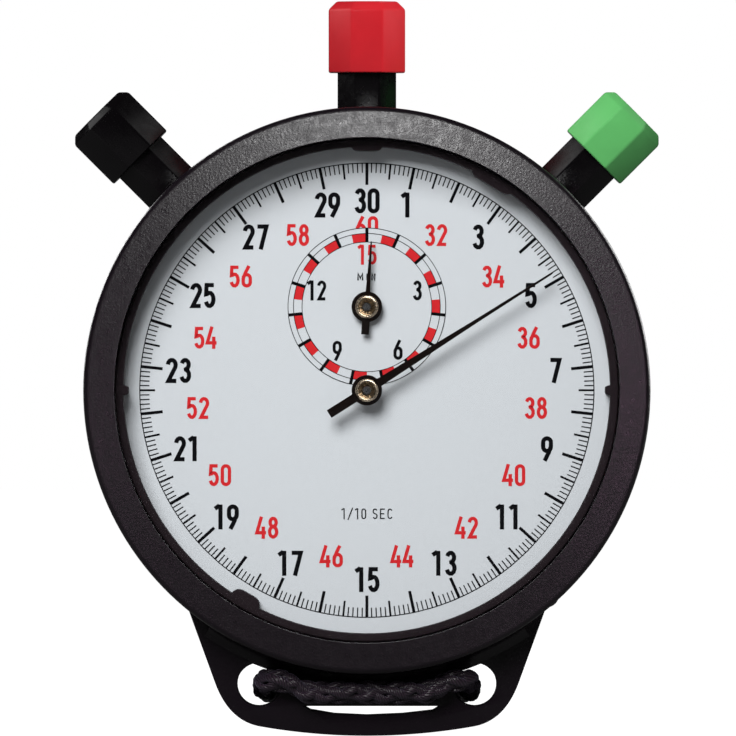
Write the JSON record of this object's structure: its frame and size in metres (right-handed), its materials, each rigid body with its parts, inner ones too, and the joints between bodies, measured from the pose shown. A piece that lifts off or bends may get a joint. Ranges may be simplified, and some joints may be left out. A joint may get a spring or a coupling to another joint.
{
  "type": "mechanical stopwatch",
  "caption": "Hand-held mechanical stopwatch with a tenth-second dial, minute counter, red crown, two side buttons and a corded foot",
  "frame": {"origin": "on the sweep-hand axis, at the flat outer face of the rear cover", "axes": "+Z towards the red crown, -Y out of the dial towards the viewer, +X to the viewer's right"},
  "size_m": [0.0568, 0.018, 0.0714],
  "materials": {
    "case_black": "black moulded plastic with a purple-brown tint and a fine grain",
    "gloss_black": "glossy black plastic",
    "red": "glossy red plastic",
    "green": "glossy green plastic",
    "glass": "clear flat-domed crystal",
    "dial_paint": "pale grey-white satin paint with black and red print",
    "hand_lacquer": "dark brown-black lacquer",
    "brass": "polished brass",
    "gilt": "gilt brass with a fine brushed grain",
    "steel": "fine-ground steel",
    "rubber": "black rubber",
    "cord": "braided black and violet cord"
  },
  "bodies": {
    "case": {"front_case": "case_black", "movement_ring": "case_black", "rear_cover": "gloss_black", "dial_ring": "gloss_black", "cord_ferrule": "gloss_black", "cover_gasket": "rubber", "crystal": "glass", "dial": "dial_paint", "lanyard_cord": "cord", "crown_tube": "brass", "start_tube": "brass", "reset_tube": "brass", "main_plate": "gilt", "barrel_bridge": "gilt", "train_bridge": "gilt", "pallet_bridge": "gilt", "balance_cock": "gilt", "crown_spring": "steel", "start_spring": "steel", "reset_spring": "steel", "hairspring": "steel", "barrel_bridge_screw_left": "steel", "barrel_bridge_screw_right": "steel", "train_bridge_screw": "steel", "balance_cock_screw": "steel"},
    "crown_thrust": {"crown_thrust_cup": "brass"},
    "crown": {"crown_cap": "red", "crown_stem": "gloss_black", "winding_stem": "steel"},
    "start_button": {"start_cap": "green", "start_stem": "gloss_black", "start_plunger": "steel"},
    "reset_button": {"reset_cap": "gloss_black", "reset_stem": "gloss_black", "reset_plunger": "steel"},
    "sweep": {"sweep_arbor": "steel", "second_hand": "hand_lacquer", "second_hand_bush": "brass"},
    "minute": {"minute_arbor": "steel", "minute_wheel": "brass", "minute_hand": "hand_lacquer", "minute_hand_bush": "brass"},
    "intermediate": {"intermediate_wheel": "brass"},
    "fourth": {"fourth_wheel": "brass"},
    "third": {"third_wheel": "brass"},
    "barrel": {"barrel_drum": "brass", "barrel_cover": "brass", "mainspring": "steel"},
    "escape": {"escape_wheel": "steel"},
    "pinion": {"winding_pinion": "steel"},
    "crown_wheel_body": {"crown_wheel": "steel"},
    "ratchet": {"ratchet_wheel": "steel", "barrel_arbor": "steel"},
    "click_body": {"click": "steel"},
    "fork": {"pallet_fork": "steel"},
    "balance": {"balance_wheel": "brass", "balance_staff": "steel"},
    "start_lever_body": {"start_lever": "steel"},
    "brake_lever_body": {"brake_lever": "steel"},
    "hammer": {"reset_hammer": "steel"}
  },
  "joints": [
    {"name": "crown_press", "type": "slide", "parent": "case", "child": "crown_thrust", "axis": [0, 0, -1], "range_m": [0, 0.0011], "stiffness_N_per_m": 900, "springref_m": -0.0004, "deforming": ["crown_spring"]},
    {"name": "crown_turn", "type": "hinge", "parent": "crown_thrust", "child": "crown", "pos_m": [0, -0.0073, 0.031], "axis": [0, 0, 1], "continuous": true},
    {"name": "start_press", "type": "slide", "parent": "case", "child": "start_button", "axis": [-0.7071, 0, -0.7071], "range_m": [0, 0.0011], "stiffness_N_per_m": 900, "springref_m": -0.0004, "deforming": ["start_spring"]},
    {"name": "reset_press", "type": "slide", "parent": "case", "child": "reset_button", "axis": [0.7071, 0, -0.7071], "range_m": [0, 0.0011], "stiffness_N_per_m": 900, "springref_m": -0.0004, "deforming": ["reset_spring"]},
    {"name": "sweep_turn", "type": "hinge", "parent": "case", "child": "sweep", "pos_m": [0, -0.012, 0], "axis": [0, 1, 0], "continuous": true},
    {"name": "fourth_turn", "type": "hinge", "parent": "case", "child": "fourth", "pos_m": [0, -0.0081, 0], "axis": [0, 1, 0], "continuous": true},
    {"name": "third_turn", "type": "hinge", "parent": "case", "child": "third", "pos_m": [0.00552, -0.006, 0.00271], "axis": [0, 1, 0], "continuous": true},
    {"name": "barrel_turn", "type": "hinge", "parent": "case", "child": "barrel", "pos_m": [0.01, -0.0077, 0.00839], "axis": [0, 1, 0], "continuous": true},
    {"name": "escape_turn", "type": "hinge", "parent": "case", "child": "escape", "pos_m": [-0.00213, -0.00725, -0.00585], "axis": [0, 1, 0], "continuous": true},
    {"name": "intermediate_turn", "type": "hinge", "parent": "case", "child": "intermediate", "pos_m": [-0.00114, -0.0113, 0.00345], "axis": [0, 1, 0], "continuous": true},
    {"name": "minute_turn", "type": "hinge", "parent": "case", "child": "minute", "pos_m": [0, -0.0119, 0.0081], "axis": [0, 1, 0], "continuous": true},
    {"name": "pinion_turn", "type": "hinge", "parent": "case", "child": "pinion", "pos_m": [0, -0.0073, 0.0175], "axis": [0, 0, 1], "continuous": true},
    {"name": "crown_wheel_turn", "type": "hinge", "parent": "case", "child": "crown_wheel_body", "pos_m": [0, -0.00525, 0.0122], "axis": [0, 1, 0], "continuous": true},
    {"name": "ratchet_turn", "type": "hinge", "parent": "case", "child": "ratchet", "pos_m": [0.01, -0.00525, 0.00839], "axis": [0, 1, 0], "continuous": true},
    {"name": "click_swing", "type": "hinge", "parent": "case", "child": "click_body", "pos_m": [0.0179, -0.00525, 0.003], "axis": [0, 1, 0], "range_deg": [-0.5, 4]},
    {"name": "fork_swing", "type": "hinge", "parent": "case", "child": "fork", "pos_m": [-0.00461, -0.00725, -0.0077], "axis": [0, 1, 0], "range_deg": [-5, 5]},
    {"name": "balance_swing", "type": "hinge", "parent": "case", "child": "balance", "pos_m": [-0.0081, -0.0065, -0.0103], "axis": [0, 1, 0], "range_deg": [-270, 270]},
    {"name": "start_lever_turn", "type": "hinge", "parent": "case", "child": "start_lever_body", "pos_m": [0.02038, -0.0073, 0.00546], "axis": [0, 1, 0], "range_deg": [-6.2, 0.2]},
    {"name": "brake_lever_turn", "type": "hinge", "parent": "case", "child": "brake_lever_body", "pos_m": [-0.0148, -0.00635, -0.0148], "axis": [0, 1, 0], "range_deg": [-0.2, 4.48]},
    {"name": "reset_hammer_turn", "type": "hinge", "parent": "case", "child": "hammer", "pos_m": [-0.0145, -0.0089, 0.004], "axis": [0, 1, 0], "range_deg": [-0.2, 8.85]}
  ],
  "couplings": [
    {"joint": "fourth_turn", "follows": "sweep_turn", "ratio": 1},
    {"joint": "third_turn", "follows": "sweep_turn", "ratio": -0.125},
    {"joint": "barrel_turn", "follows": "sweep_turn", "ratio": 0.013889},
    {"joint": "escape_turn", "follows": "sweep_turn", "ratio": -10},
    {"joint": "intermediate_turn", "follows": "sweep_turn", "ratio": -0.2},
    {"joint": "minute_turn", "follows": "sweep_turn", "ratio": 0.033333},
    {"joint": "pinion_turn", "follows": "crown_turn", "ratio": 1},
    {"joint": "crown_wheel_turn", "follows": "crown_turn", "ratio": 0.37037},
    {"joint": "ratchet_turn", "follows": "crown_turn", "ratio": -0.29412},
    {"joint": "start_lever_turn", "follows": "start_press", "rad_per_m": -92},
    {"joint": "brake_lever_turn", "follows": "crown_press", "rad_per_m": 64.8},
    {"joint": "reset_hammer_turn", "follows": "reset_press", "rad_per_m": 134}
  ]
}
